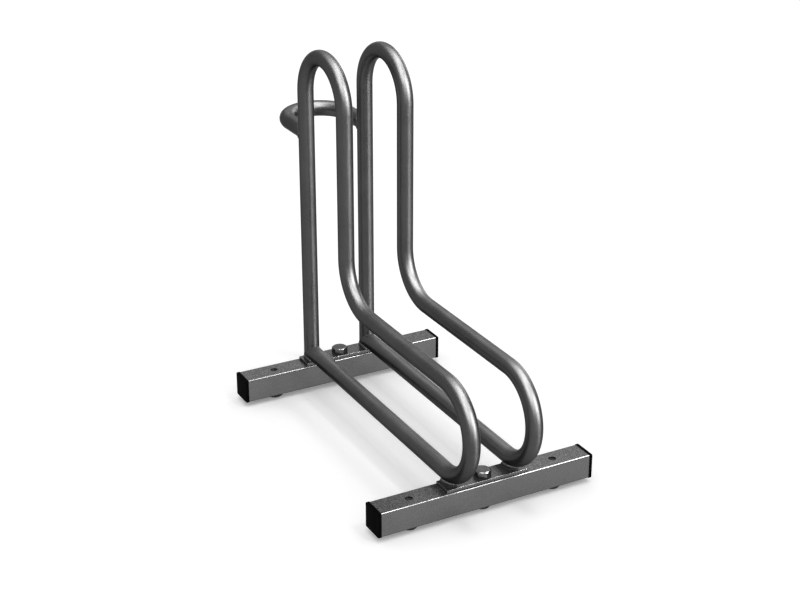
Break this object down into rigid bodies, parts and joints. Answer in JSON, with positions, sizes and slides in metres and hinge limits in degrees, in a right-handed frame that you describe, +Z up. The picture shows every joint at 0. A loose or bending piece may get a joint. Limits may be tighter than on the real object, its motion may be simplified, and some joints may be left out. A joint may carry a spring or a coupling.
{
  "type": "hoop bike rack",
  "caption": "Low steel bike rack: two bent-tube hoops with a wheel slot between them, on bolted square crossbars",
  "frame": {"origin": "on the ground, on the plane of symmetry, midway between the foremost and the rearmost tube", "axes": "+X along the crossbars, to the right as the wheel rolls in; +Y from the wheel entry to the back; +Z up"},
  "size_m": [0.28, 0.5109, 0.46],
  "materials": {
    "round_tube": "satin zinc-coated steel tube, dark grey, smooth, with soft glints in the bends",
    "square_tube": "satin zinc-coated steel, mid grey, finely speckled",
    "plate": "satin zinc-coated flat steel with sawn ends",
    "end_cap": "black moulded plastic, lightly grained",
    "fastener": "zinc-plated steel, satin",
    "weld": "zinc-coated weld metal, finely rippled"
  },
  "bodies": {
    "root": {"left_hoop": "round_tube", "right_hoop": "round_tube", "rear_loop": "round_tube", "front_crossbar": "square_tube", "rear_crossbar": "square_tube", "front_plate": "plate", "rear_plate": "plate", "front_left_end_cap": "end_cap", "front_right_end_cap": "end_cap", "rear_left_end_cap": "end_cap", "rear_right_end_cap": "end_cap", "front_plate_bolt": "fastener", "rear_plate_bolt": "fastener", "front_bolt_nut": "fastener", "rear_bolt_nut": "fastener", "front_left_foot_nut": "fastener", "front_right_foot_nut": "fastener", "rear_left_foot_nut": "fastener", "rear_right_foot_nut": "fastener", "front_left_hoop_weld": "weld", "front_right_hoop_weld": "weld", "rear_left_hoop_weld": "weld", "rear_right_hoop_weld": "weld", "left_corner_weld": "weld", "right_corner_weld": "weld", "left_loop_weld": "weld", "right_loop_weld": "weld"}
  },
  "joints": []
}
